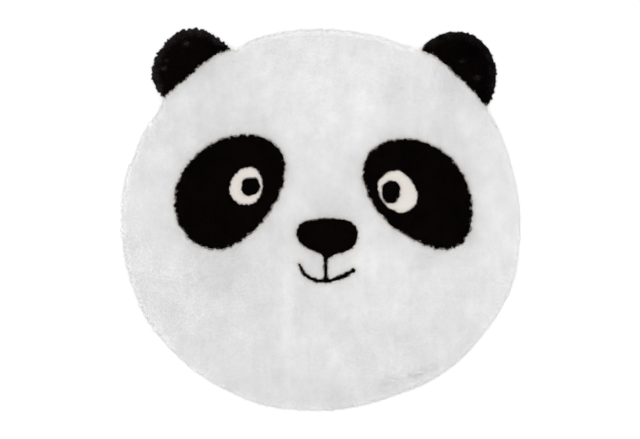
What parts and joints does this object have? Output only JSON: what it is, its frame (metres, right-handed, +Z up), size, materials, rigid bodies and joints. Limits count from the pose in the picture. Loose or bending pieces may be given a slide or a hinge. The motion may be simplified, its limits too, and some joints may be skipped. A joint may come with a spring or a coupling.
{
  "type": "panda-head plush rug",
  "caption": "Flat round plush rug in the shape of a panda's head, for the floor of a child's room.",
  "frame": {"origin": "on the underside, under the middle of the head", "axes": "+Z up out of the pile, +Y to the top of the head, +X to the right of the face as seen from above"},
  "size_m": [0.8609, 0.8237, 0.0149],
  "materials": {
    "white_plush": "short cut pile, soft sheen",
    "cream_plush": "short cut pile, soft sheen",
    "black_plush": "short cut pile, deep matt"
  },
  "bodies": {
    "root": {"face_panel": "white_plush", "ear_left": "black_plush", "ear_right": "black_plush", "eye_patch_left": "black_plush", "eye_patch_right": "black_plush", "eye_white_left": "cream_plush", "eye_white_right": "cream_plush", "pupil_left": "black_plush", "pupil_right": "black_plush", "nose_and_mouth": "black_plush"}
  },
  "joints": []
}
